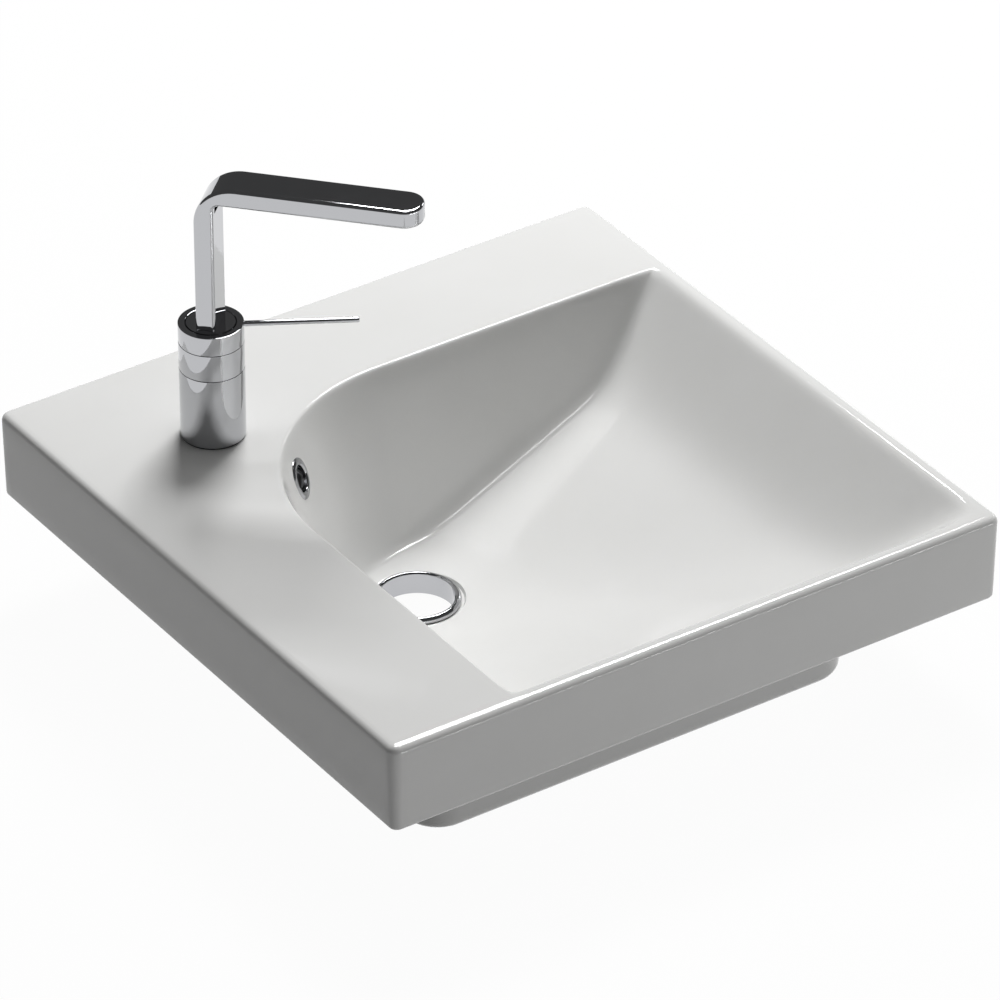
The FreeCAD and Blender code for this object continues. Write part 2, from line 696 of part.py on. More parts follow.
# Spout
def make_spout():
    half = "spout_thickness / 2"
    arm_bottom = "spout_top - spout_thickness"
    bar = doc.addObject("PartDesign::Body", "spout_bar")
    sketch = new_sketch(bar, "XZ_Plane")
    draw_polygon(sketch, [
        ("0 - " + half, ring_top),
        (half, ring_top),
        (half, arm_bottom),
        ("spout_reach", arm_bottom),
        ("spout_reach", "spout_top"),
        ("0 - " + half, "spout_top"),
    ])
    pad = feature(bar, "Pad", "pad", Profile=sketch, Midplane=True)
    bind(pad, Length="spout_width")

    side = number("spout_width") / 2
    reach = number("spout_reach")
    foot = number(ring_top)

    def on_side(edge):
        return abs(abs(edge.CenterOfMass.y) - side) < 1e-4

    def near(edge, x, z=None):
        # True for an edge at this place in the side view of the bar
        return all(abs(spot.X - x) < 1e-4 and (z is None or abs(spot.Z - z) < 1e-4) for spot in edge.Vertexes)

    outer_bend = (-number(half), number("spout_top"))
    inner_bend = (number(half), number(arm_bottom))
    round_edges(bar, "outer_bend", "spout_bend_radius", lambda edge: near(edge, *outer_bend))
    round_edges(bar, "inner_bend", "spout_inner_bend", lambda edge: near(edge, *inner_bend))
    round_edges(bar, "tip", "spout_tip_radius", lambda edge: on_side(edge) and near(edge, reach))
    round_edges(bar, "edges", "spout_edge_radius", lambda edge: on_side(edge) and not level(edge, foot))

    spigot = cylinder("spigot", "outlet_radius - running_clearance", "spigot_length + hinge_gap",
                      z=ring_top + " - spigot_length")
    seal_level = ring_top + " - spigot_seal_drop"
    seal_depth = "outlet_radius - seal_section - 2 * running_clearance"
    seal_groove = ring("spigot_groove", seal_depth, "outlet_radius + running_clearance",
                       seal_level + " - seal_groove_width / 2", seal_level + " + seal_groove_width / 2")
    channel_half = "spout_channel_depth / 2"
    arm_middle = arm_bottom + " + spout_thickness / 2"
    bore = cylinder("spigot_bore", "spigot_bore_radius", "spigot_length + spout_thickness + 2 * hinge_gap",
                    z=ring_top + " - spigot_length - hinge_gap")
    channel = doc.addObject("PartDesign::Body", "spout_channel")
    path = new_sketch(channel, "XZ_Plane")
    bend_x = "spout_bend_radius - spout_thickness / 2 - " + channel_half
    bend_z = "spout_top - spout_bend_radius + " + channel_half
    channel_end = "spout_reach - aerator_setback"
    draw_polygon(path, [
        ("0 - " + channel_half, ring_top + " + spout_thickness / 2"),
        (channel_half, ring_top + " + spout_thickness / 2"),
        (channel_half, bend_z),
        (bend_x, arm_middle + " - " + channel_half),
        (channel_end, arm_middle + " - " + channel_half),
        (channel_end, arm_middle + " + " + channel_half),
        (bend_x, arm_middle + " + " + channel_half),
        ("0 - " + channel_half, bend_z),
    ])
    hollow = feature(channel, "Pad", "pad", Profile=path, Midplane=True)
    bind(hollow, Length="spout_channel_width")
    pocket = cylinder("aerator_pocket", "aerator_radius", "aerator_depth + hinge_gap",
                      "spout_reach - aerator_setback", "0", arm_bottom + " - hinge_gap")
    solid = joined("spout_solid", bar, spigot)
    spout = cut("spout", solid, seal_groove, bore, channel, pocket)
    seal = doc.addObject("Part::Torus", "spigot_seal")
    bind(seal, Radius1="outlet_radius - seal_section / 2 - running_clearance", Radius2="seal_section / 2")
    seal_group = doc.addObject("Part::Compound", "spigot_seal_group")
    seal_group.Links = [seal]
    bind(seal, Placement__Base__z=seal_level)
    return [named(on_tap(spout, "spout_angle"), "spout"), named(on_tap(seal_group), "spout_seal")]


def make_aerator():
    arm_bottom = "spout_top - spout_thickness"
    inner = "aerator_radius - aerator_wall"
    housing = ring("housing", inner, "aerator_radius", "0 - aerator_show", "aerator_depth")
    insert = doc.addObject("PartDesign::Body", "insert")
    disc = new_sketch(insert, "XY_Plane")
    draw_circle(disc, "0", "0", inner)
    pad = feature(insert, "Pad", "pad", Profile=disc)
    bind(pad, Length="aerator_insert_height")
    doc.recompute()
    hole = insert.newObject("Sketcher::SketchObject", "insert_hole")
    hole.AttachmentSupport = disc.AttachmentSupport
    hole.MapMode = "FlatFace"
    draw_circle(hole, "aerator_hole_circle", "0", "aerator_hole_radius")
    pocket = feature(insert, "Pocket", "pocket", Profile=hole, Type="ThroughAll", Reversed=True)
    doc.recompute()
    circle_of_holes = insert.newObject("PartDesign::PolarPattern", "insert_pattern")
    circle_of_holes.Originals = [pocket]
    circle_of_holes.Axis = (disc, ["N_Axis"])
    circle_of_holes.Angle = 360
    bind(circle_of_holes, Occurrences="aerator_hole_count")
    insert.Tip = circle_of_holes
    turn = "spout_angle * 1 deg"
    x = tap_x + " + ( spout_reach - aerator_setback ) * cos(" + turn + ")"
    y = tap_y + " + ( spout_reach - aerator_setback ) * sin(" + turn + ")"
    z = "basin_height + " + arm_bottom
    return [
        named(place(housing, x, y, z), "aerator_housing"),
        named(place(insert, x, y, z), "aerator_insert"),
    ]


# Collar, turns for temperature
def make_collar():
    bore = "core_radius + running_clearance"
    blank = turned("collar_blank", [
        ("recess_radius", collar_bottom),
        ("tap_radius", collar_bottom),
        ("tap_radius", collar_top),
        (bore, collar_top),
        (bore, recess_top),
        ("recess_radius", recess_top),
    ])
    lug = block("hinge_lug", "0 - pivot_radius - lug_half_thickness", "0 - lug_half_width",
                collar_top + " - hinge_gap", "2 * lug_half_thickness", "2 * lug_half_width",
                "lug_height + hinge_gap")
    pin_hole = cylinder("lug_hole", "pivot_pin_radius", "4 * lug_half_width", "0 - pivot_radius",
                        "0 - 2 * lug_half_width", pivot_level, "y")
    guide = cylinder("lift_guide", "lift_pin_radius + running_clearance", "collar_height",
                     "lift_pin_position", "0 - lift_pin_offset", collar_bottom + " + hinge_gap")
    collar = cut("collar", joined("collar_solid", blank, lug), pin_hole, guide)
    pin = cylinder("pivot_pin", "pivot_pin_radius", "2 * pivot_pin_half_length", "0 - pivot_radius",
                   "0 - pivot_pin_half_length", pivot_level, "y")
    pin_group = doc.addObject("Part::Compound", "pivot_pin_group")
    pin_group.Links = [pin]
    return [
        named(on_tap(collar, "lever_angle"), "swivel_collar"),
        named(on_tap(pin_group, "lever_angle"), "hinge_pin"),
    ]


# Lever ring, tips up for flow
def make_lever():
    lip_under = ring_top + " - ring_lip"
    blank = turned("ring_blank", [
        (hollow_radius, ring_bottom),
        ("tap_radius", ring_bottom),
        ("tap_radius", ring_top + " - ring_edge_chamfer"),
        ("tap_radius - ring_edge_chamfer", ring_top),
        ("ring_bore_radius", ring_top),
        ("ring_bore_radius", lip_under),
        (hollow_radius, lip_under),
    ])
    boss_length = hollow_radius + " - boss_inner + ring_wall / 3"
    boss = block("lever_boss", "boss_inner", "0 - boss_half_width", ring_bottom,
                 boss_length, "2 * boss_half_width", "ring_height - ring_lip")
    rod_hole = cylinder("rod_hole", "lever_radius", "tap_radius", "lever_seat_radius", "0", lever_level, "x")
    screw_hole = cylinder("screw_hole", "set_screw_radius", "ring_height - lever_drop",
                          "set_screw_position", "0", ring_bottom)
    pin_hole = cylinder("ring_pin_hole", "pivot_pin_radius + running_clearance",
                        "2 * pivot_pin_half_length + pivot_end_wall + tap_radius / 4", "0 - pivot_radius",
                        "0 - pivot_pin_half_length - pivot_end_wall", pivot_level, "y")
    relief = doc.addObject("Part::Box", "rear_relief")
    bind(relief, Length="tap_radius", Width="3 * tap_radius", Height="ring_height")
    relief.Placement.Rotation = FreeCAD.Rotation(FreeCAD.Vector(0, 1, 0), number("lever_lift"))
    tip = "lever_lift * 1 deg + 1 deg"
    relief.setExpression("Placement.Rotation.Angle", size(tip))
    corner_x = "0 - pivot_radius - pivot_pin_radius"
    corner_x += " - tap_radius * cos(" + tip + ") - ring_height * sin(" + tip + ")"
    corner_z = ring_bottom + " + tap_radius * sin(" + tip + ") - ring_height * cos(" + tip + ")"
    bind(relief, Placement__Base__x=corner_x, Placement__Base__z=corner_z)
    bind(relief, Placement__Base__y="0 - 3 * tap_radius / 2")
    solid = joined("ring_solid", blank, boss)
    lever_ring = cut("lever_ring", solid, rod_hole, screw_hole, pin_hole, relief)
    rod = cylinder("rod", "lever_radius", "lever_reach - lever_seat_radius",
                   "lever_seat_radius", "0", lever_level, "x")
    rod_end = doc.addObject("Part::Chamfer", "rod_end")
    doc.recompute()
    end = max(range(len(rod.Shape.Edges)), key=lambda index: rod.Shape.Edges[index].CenterOfMass.x)
    chamfer = number("lever_end_chamfer")
    rod_end.Base = rod
    rod_end.Edges = [(end + 1, chamfer, chamfer)]
    screw = cylinder("screw", "set_screw_radius", "set_screw_length", "set_screw_position", "0",
                     lever_level + " - lever_radius - set_screw_length")
    screw_group = doc.addObject("Part::Compound", "screw_group")
    screw_group.Links = [screw]
    return [
        named(on_tap(lever_ring, "lever_angle"), "lever_ring"),
        named(on_tap(rod_end, "lever_angle"), "lever_rod"),
        named(on_tap(screw_group, "lever_angle"), "lever_set_screw"),
    ]


# Sleeve valve, turns with the collar and rises with the lever
def make_sleeve():
    blank = ring("sleeve_blank", "core_radius + running_clearance", "recess_radius - slip_clearance",
                 sleeve_bottom, sleeve_top)
    middle = "( core_radius + recess_radius ) / 2"
    windows = [cylinder("window_" + side, "sleeve_window_radius", "sleeve_height + 2 * hinge_gap",
                        y=sign + middle, z=sleeve_bottom + " - hinge_gap")
               for side, sign in (("hot", "0 - "), ("cold", ""))]
    seat_level = sleeve_bottom + " + sleeve_height / 2"
    seat = cylinder("lift_seat", "lift_pin_radius", "sleeve_height",
                    "lift_pin_position", "0 - lift_pin_offset", seat_level)
    sleeve = cut("sleeve", blank, *windows, seat)
    pin = cylinder("lift_rod", "lift_pin_radius", collar_top + " - ( " + seat_level + " )",
                   "lift_pin_position", "0 - lift_pin_offset", seat_level)
    pin_group = doc.addObject("Part::Compound", "lift_rod_group")
    pin_group.Links = [pin]
    return [
        named(on_tap(sleeve, "lever_angle"), "valve_sleeve"),
        named(on_tap(pin_group, "lever_angle"), "lift_pin"),
    ]


pieces = [make_basin(), make_overflow_ring(), make_tap_body()]
pieces += make_waste()
pieces += make_fixing()
pieces += [make_inlet("cold_inlet", ""), make_inlet("hot_inlet", "0 - ")]
pieces += make_valve_core()
pieces += make_spout()
pieces += make_aerator()
pieces += make_collar()
pieces += make_lever()
pieces += make_sleeve()
doc.recompute()

failed = [thing.Label for thing in doc.Objects if "Invalid" in thing.State or "Error" in thing.State]
if failed:
    raise RuntimeError("failed: " + ", ".join(failed))
for piece in pieces:
    if piece.Shape.isNull() or not piece.Shape.isValid():
        raise RuntimeError("bad shape: " + piece.Label)

os.makedirs("parts", exist_ok=True)
for piece in pieces:
    piece.Shape.exportStep("parts/" + piece.Label + ".step")
    print(piece.Label, len(piece.Shape.Solids), round(piece.Shape.Volume / 1000, 3), "cm3")
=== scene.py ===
import json
import math

import bmesh
import bpy
from mathutils import Matrix, Vector


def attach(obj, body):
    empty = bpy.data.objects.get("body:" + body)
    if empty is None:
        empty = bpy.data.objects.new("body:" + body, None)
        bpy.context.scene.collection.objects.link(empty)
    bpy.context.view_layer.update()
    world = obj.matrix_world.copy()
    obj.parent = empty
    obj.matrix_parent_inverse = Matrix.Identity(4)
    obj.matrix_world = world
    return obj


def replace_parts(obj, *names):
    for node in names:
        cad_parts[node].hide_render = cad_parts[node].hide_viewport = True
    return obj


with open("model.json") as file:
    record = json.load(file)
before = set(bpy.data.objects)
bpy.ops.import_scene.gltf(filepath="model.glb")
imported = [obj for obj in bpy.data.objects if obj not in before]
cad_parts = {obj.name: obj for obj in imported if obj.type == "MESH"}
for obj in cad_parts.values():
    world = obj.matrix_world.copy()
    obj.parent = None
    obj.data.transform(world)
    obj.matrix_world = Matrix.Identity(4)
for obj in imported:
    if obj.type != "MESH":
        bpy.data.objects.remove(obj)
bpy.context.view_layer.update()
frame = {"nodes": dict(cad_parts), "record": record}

nodes = frame["nodes"]
mm = 0.001
print("frame loaded:", len(nodes), "nodes")


# small tools, used by every piece below
def hexColour(code):
    parts = [int(code[i:i + 2], 16) / 255 for i in (1, 3, 5)]
    return [c / 12.92 if c <= 0.04045 else ((c + 0.055) / 1.055) ** 2.4 for c in parts] + [1.0]


def addNode(tree, kind, links=None, **settings):
    node = tree.nodes.new(kind)
    for key, value in settings.items():
        setattr(node, key, value)
    for key, value in (links or {}).items():
        if isinstance(value, bpy.types.NodeSocket):
            tree.links.new(value, node.inputs[key])
        else:
            node.inputs[key].default_value = value
    return node


def newMaterial(name):
    material = bpy.data.materials.new(name)
    material.use_nodes = True
    tree = material.node_tree
    tree.nodes.clear()
    shader = addNode(tree, "ShaderNodeBsdfPrincipled")
    addNode(tree, "ShaderNodeOutputMaterial", {"Surface": shader.outputs[0]})
    coords = addNode(tree, "ShaderNodeTexCoord").outputs["Object"]
    return material, tree, shader, coords


def meshObject(name, bm, material, body, smoothAngle=35):
    bmesh.ops.remove_doubles(bm, verts=bm.verts, dist=1e-6)
    bmesh.ops.recalc_face_normals(bm, faces=bm.faces)
    mesh = bpy.data.meshes.new(name)
    bm.to_mesh(mesh)
    bm.free()
    return dressObject(name, mesh, material, body, smoothAngle)


def dressObject(name, mesh, material, body, smoothAngle):
    mesh.shade_smooth()
    mesh.set_sharp_from_angle(angle=math.radians(smoothAngle))
    mesh.materials.clear()
    mesh.materials.append(material)
    piece = bpy.data.objects.new(name, mesh)
    bpy.context.scene.collection.objects.link(piece)
    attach(piece, body)
    return piece


def softCorners(profile, radius, steps=4):
    # rounds the corners of a closed (radius, height) outline
    rounded = []
    count = len(profile)
    for i, corner in enumerate(profile):
        here = Vector(corner[:2])
        size = corner[2] if len(corner) > 2 else radius
        before = Vector(profile[i - 1][:2]) - here
        after = Vector(profile[(i + 1) % count][:2]) - here
        turn = before.angle(after, math.pi)
        reach = size / math.tan(turn / 2)
        reach = min(reach, before.length * 0.45, after.length * 0.45)
        if reach < 1e-4:
            rounded.append(here)
            continue
        start, end = here + before.normalized() * reach, here + after.normalized() * reach
        for k in range(steps + 1):
            t = k / steps
            rounded.append(start * (1 - t) ** 2 + here * 2 * t * (1 - t) + end * t * t)
    return rounded


def turnedMesh(profile, place, segments=128):
    # lathe: closed outline in mm, turned about the Z axis of the placing matrix
    bm = bmesh.new()
    rings = []
    for s in range(segments):
        a = 2 * math.pi * s / segments
        ring = [bm.verts.new(place @ Vector((p.x * math.cos(a) * mm, p.x * math.sin(a) * mm, p.y * mm)))
                for p in profile]
        rings.append(ring)
    for s in range(segments):
        one, two = rings[s], rings[(s + 1) % segments]
        for i in range(len(profile)):
            j = (i + 1) % len(profile)
            bm.faces.new((one[i], two[i], two[j], one[j]))
    return bm


# materials
def makeGlazedChina():
    # Vitreous china, dipped in white glaze and fired: wet gloss, broad soft waves, bare clay where it stands.
    material, tree, shader, coords = newMaterial("vitreousChinaFiredGlaze")
    # clouds of 70 mm, clay grit of 1 mm and waves of 45 mm
    mottle = addNode(tree, "ShaderNodeTexNoise", {"Vector": coords, "Scale": 14.0, "Detail": 3.0})
    tint = addNode(tree, "ShaderNodeMix", {"Factor": mottle.outputs["Fac"], "A": hexColour("#ECECEA"),
                                           "B": hexColour("#F1F1F0")}, data_type="RGBA")
    height = addNode(tree, "ShaderNodeSeparateXYZ", {"Vector": coords})
    grit = addNode(tree, "ShaderNodeTexNoise", {"Vector": coords, "Scale": 900.0, "Detail": 2.0})
    edge = addNode(tree, "ShaderNodeMath", {0: grit.outputs["Fac"], 1: 0.0012, 2: 0.0004},
                   operation="MULTIPLY_ADD")
    bare = addNode(tree, "ShaderNodeMath", {0: height.outputs["Z"], 1: edge.outputs[0]},
                   operation="LESS_THAN")
    clay = addNode(tree, "ShaderNodeMix", {"Factor": bare.outputs[0], "A": tint.outputs["Result"],
                                           "B": hexColour("#D8CDB9")}, data_type="RGBA")
    gloss = addNode(tree, "ShaderNodeMapRange", {"Value": bare.outputs[0], "To Min": 0.07, "To Max": 0.85})
    wave = addNode(tree, "ShaderNodeTexNoise", {"Vector": coords, "Scale": 22.0, "Detail": 1.0})
    bump = addNode(tree, "ShaderNodeBump", {"Height": wave.outputs["Fac"], "Strength": 0.06,
                                            "Distance": 0.002})
    tree.links.new(clay.outputs["Result"], shader.inputs["Base Color"])
    tree.links.new(gloss.outputs["Result"], shader.inputs["Roughness"])
    tree.links.new(bump.outputs[0], shader.inputs["Normal"])
    shader.inputs["IOR"].default_value = 1.5
    return material


def makeChrome():
    # Bright chrome plated on polished brass: a mirror with a faint trace of wiping.
    material, tree, shader, coords = newMaterial("brightChromePlateOnBrass")
    shader.inputs["Metallic"].default_value = 1.0
    shader.inputs["Base Color"].default_value = hexColour("#BBBCBF")
    # smears of 25 mm
    wipe = addNode(tree, "ShaderNodeTexNoise", {"Vector": coords, "Scale": 40.0, "Detail": 4.0})
    haze = addNode(tree, "ShaderNodeMapRange", {"Value": wipe.outputs["Fac"], "From Min": 0.35,
                                                "From Max": 0.75, "To Min": 0.03, "To Max": 0.065})
    tree.links.new(haze.outputs["Result"], shader.inputs["Roughness"])
    return material


def makeTurnedMetal(name, dark, light, roughness):
    # Bare metal from the lathe: fine feed lines round the piece, drawn 0.4 mm apart so that they show.
    material, tree, shader, coords = newMaterial(name)
    shader.inputs["Metallic"].default_value = 1.0
    feed = addNode(tree, "ShaderNodeTexWave", {"Vector": coords, "Scale": 400.0, "Distortion": 0.6},
                   wave_type="BANDS", bands_direction="Z")
    tone = addNode(tree, "ShaderNodeMix", {"Factor": feed.outputs["Fac"], "A": hexColour(dark),
                                           "B": hexColour(light)}, data_type="RGBA")
    bump = addNode(tree, "ShaderNodeBump", {"Height": feed.outputs["Fac"], "Strength": 0.15,
                                            "Distance": 0.0002})
    tree.links.new(tone.outputs["Result"], shader.inputs["Base Color"])
    tree.links.new(bump.outputs[0], shader.inputs["Normal"])
    shader.inputs["Roughness"].default_value = roughness
    return material


def makeMoulded(name, dark, light, roughness, grain):
    # Moulded rubber or plastic: a fine dull grain with a little change of tone.
    material, tree, shader, coords = newMaterial(name)
    speck = addNode(tree, "ShaderNodeTexNoise", {"Vector": coords, "Scale": grain, "Detail": 2.0})
    tone = addNode(tree, "ShaderNodeMix", {"Factor": speck.outputs["Fac"], "A": hexColour(dark),
                                           "B": hexColour(light)}, data_type="RGBA")
    bump = addNode(tree, "ShaderNodeBump", {"Height": speck.outputs["Fac"], "Strength": 0.2,
                                            "Distance": 0.0002})
    tree.links.new(tone.outputs["Result"], shader.inputs["Base Color"])
    tree.links.new(bump.outputs[0], shader.inputs["Normal"])
    shader.inputs["Roughness"].default_value = roughness
    return material


china = makeGlazedChina()
chrome = makeChrome()
brass = makeTurnedMetal("bareBrassTurned", "#A98B4E", "#C9AA66", 0.28)
steel = makeTurnedMetal("stainlessSteelTurned", "#8E8F90", "#B4B5B6", 0.3)
rubber = makeMoulded("blackRubberMoulded", "#141414", "#222222", 0.7, 1500.0)
ptfe = makeMoulded("graphitePtfeTurned", "#2A2A2B", "#3A3A3B", 0.45, 1200.0)
acetal = makeMoulded("whiteAcetalMoulded", "#DCDCD6", "#E8E8E3", 0.4, 1200.0)
materialOfSlot = {"glazed_china": china, "polished_chrome": chrome, "chromed_core": chrome,
                  "bare_brass": brass, "black_rubber": rubber, "stainless_steel": steel,
                  "white_plastic": acetal}
for part in frame["record"]["subparts"]:
    cadNode = nodes[part["node"]]
    cadNode.data.materials.clear()
    cadNode.data.materials.append(materialOfSlot[part["material_slot"]])
nodes["glide_washer"].data.materials[0] = ptfe
print("materials ready")


# basin casting, in metres
basin = {
    "half": 0.250, "deck": 0.143, "cornerRadius": 0.008, "edgeRadius": 0.0055, "apron": 0.067,
    "draft": 0.02095, "lowEdge": 0.003, "shell": 0.011, "lid": 0.012, "bottomGap": 0.0124,
    "footInset": 0.070, "footBackInset": 0.072, "footRadius": 0.028, "footRound": 0.190, "footWall": 0.015,
    "footEdge": 0.009, "drain": (-0.0395, 0.0395), "drainHole": 0.029, "drainRecess": 0.042,
    "seatLevel": 0.0216, "drainWall": 0.0065, "seatLip": 0.010, "rimRise": 0.0062, "rimRun": 0.014,
    "tap": (-0.1395, 0.1425), "tapHole": 0.017, "holeDepth": 0.06, "innerChamfer": 0.001,
    "sectionStep": 0.005, "cornerSteps": 7,
}
sectionSteps = {"seat": 3, "seatLip": 8, "bowl": 56, "rimRise": 9, "rimRun": 9, "deck": 6, "edge": 8,
                "apron": 5, "lowEdge": 4, "lid": 11, "footEdge": 6, "underside": 40}
scoopRule = {
    "Left Edge": -0.148, "Back Edge": 0.148, "Corner Radius": 0.148, "Right Rim": 0.238, "Front Rim": -0.238,
    "Wall Slope": 2.7475, "Bank Slope": 1.0538, "Ramp Slope": 0.3346, "Ramp Length": 0.230,
    "Bowl Depth": 0.121, "Crease Blend": 0.030, "Bank Blend": 0.024, "Valley Blend": 0.040,
    "Bottom Blend": 0.015, "Rim Blend": 0.0075,
    "Deck Level": 0.143, "Drain X": -0.0395, "Drain Y": 0.0395, "Seat Radius": 0.0335, "Seat Depth": 0.1214,
    "Seat Slope": 3.2, "Seat Blend": 0.0018,
}


def footDistance(x, y):
    # signed distance to the outline of the foot, with its large round at the back left
    left, front = basin["footBackInset"] - basin["half"], basin["footInset"] - basin["half"]
    right, back = -front, -left
    large, small = basin["footRound"], basin["footRadius"]
    if x < left + large and y > back - large:
        return math.hypot(x - left - large, y - back + large) - large
    sideX = max(left - x, x - right) + small
    sideY = max(front - y, y - back) + small
    return math.hypot(max(sideX, 0), max(sideY, 0)) + min(max(sideX, sideY), 0) - small


def alongRay(start, way, far, level):
    # where the ray meets the foot's outline set in by the given amount
    near = 0.0
    for _ in range(40):
        probe = (near + far) / 2
        if footDistance(start.x + way.x * probe, start.y + way.y * probe) < -level:
            near = probe
        else:
            far = probe
    return near


def rimReach(start, way):
    # where the ray leaves the bowl in plan
    reaches = []
    if way.x > 1e-9:
        reaches.append((scoopRule["Right Rim"] - start.x) / way.x)
    if way.y < -1e-9:
        reaches.append((scoopRule["Front Rim"] - start.y) / way.y)
    if way.x < -1e-9:
        reaches.append((scoopRule["Left Edge"] - start.x) / way.x)
    if way.y > 1e-9:
        reaches.append((scoopRule["Back Edge"] - start.y) / way.y)
    reach = min(reaches)
    radius = scoopRule["Corner Radius"]
    middle = Vector((scoopRule["Left Edge"] + radius, scoopRule["Back Edge"] - radius))
    spot = start + way * reach
    if spot.x < middle.x and spot.y > middle.y:
        lead = start - middle
        half = lead.dot(way)
        reach = -half + math.sqrt(half * half - lead.length_squared + radius * radius)
    return reach


def spread(start, end, count):
    # even steps from start to end, without the start itself
    return [start + (end - start) * i / count for i in range(1, count + 1)]


def deckBoundary():
    # points round the flat of the deck, each with its outward direction and corner mitre
    flat = basin["half"] - basin["cornerRadius"]
    start = Vector(basin["drain"])
    corner = Vector((scoopRule["Left Edge"], scoopRule["Front Rim"])) - start
    crossing = start.x + corner.x * (-flat - start.y) / corner.y  # the ray through the front left bowl corner
    steps = spread(-flat, flat, round(2 * flat / basin["sectionStep"]))[:-1]
    steps = sorted(steps + [crossing, -crossing])
    boundary = []
    for side in range(4):
        turn = Matrix.Rotation(side * math.pi / 2, 2)
        normal = turn @ Vector((0, -1))
        for s in steps:
            boundary.append((turn @ Vector((s, -flat)), normal, normal))
        last = turn @ Vector((flat, -flat))
        mitre = turn @ Vector((1, -1))
        for i in range(basin["cornerSteps"] + 1):
            swing = Matrix.Rotation(math.pi / 2 * i / basin["cornerSteps"], 2)
            boundary.append((last, swing @ normal, mitre))
    return boundary


def basinSection(point, normal, mitre):
    # one closed section of the casting: (position, follows the scoop rule, wall offset, lid)
    start = Vector(basin["drain"])
    ray = point - start
    far = ray.length
    way = ray / far
    rim = rimReach(start, way)
    deck, lid = basin["deck"], basin["deck"] - basin["lid"]
    section = []

    def add(plan, z, follows=False, wall=0.0, cover=0.0):
        section.append(((plan.x, plan.y, z), follows, wall, cover))

    # the bowl from the waste up to its rim, closer together where it curves, then the flat of the deck
    steps = sectionSteps
    seat = scoopRule["Seat Radius"]
    beyond = min(basin["rimRun"], (far - rim) * 0.96)
    reaches = [basin["drainHole"]] + spread(basin["drainHole"], seat, steps["seat"])
    reaches += spread(seat, seat + basin["seatLip"], steps["seatLip"])
    reaches += spread(reaches[-1], rim - basin["rimRise"], steps["bowl"])
    reaches += spread(reaches[-1], rim, steps["rimRise"])
    reaches += [rim + beyond * share ** 1.6 for share in spread(0, 1, steps["rimRun"])]
    reaches += spread(reaches[-1], far, steps["deck"])
    for reach in reaches:
        add(start + way * reach, deck, True, 0.0, deck)
    # the rounded edge, the drafted apron and its lower edge
    edge, corner = basin["edgeRadius"], basin["cornerRadius"]
    shoulder = corner - edge
    widest = corner - edge * basin["draft"]
    for a in spread(0, math.pi / 2, steps["edge"]):
        add(point + normal * (shoulder + (widest - shoulder) * math.sin(a)), deck - edge * (1 - math.cos(a)))
    low = basin["apron"] - basin["lowEdge"]
    for drop in spread(edge, low, steps["apron"]):
        add(point + normal * (corner - drop * basin["draft"]), deck - drop)
    foot = corner - low * basin["draft"]
    for a in spread(0, math.pi / 2, steps["lowEdge"]):
        out = foot - basin["lowEdge"] * (1 - math.cos(a))
        add(point + normal * out, deck - low - basin["lowEdge"] * math.sin(a))
    bottom = deck - basin["apron"]
    inside = point + mitre * (corner - basin["bottomGap"])
    add(inside + mitre * basin["innerChamfer"], bottom)
    add(inside, bottom + basin["innerChamfer"])
    # the underside, with the foot standing out of it
    footOuter = start + way * alongRay(start, way, far, 0.0)
    for share in [0] + spread(0, 1, steps["lid"]):
        add(inside.lerp(footOuter, share), lid, True, basin["shell"], lid)
    edge = basin["footEdge"]
    for a in [0] + spread(0, math.pi / 2, steps["footEdge"]):
        reach = alongRay(start, way, far, edge * (1 - math.cos(a)))
        add(start + way * reach, edge * (1 - math.sin(a)))
    innerReach = alongRay(start, way, far, basin["footWall"])
    add(start + way * innerReach, 0.0)
    for reach in [innerReach] + spread(innerReach, basin["drainRecess"], steps["underside"]):
        add(start + way * reach, lid, True, basin["shell"], lid)
    under = basin["seatLevel"] - basin["drainWall"]
    add(start + way * basin["drainRecess"], under)
    add(start + way * basin["drainHole"], under)
    return section


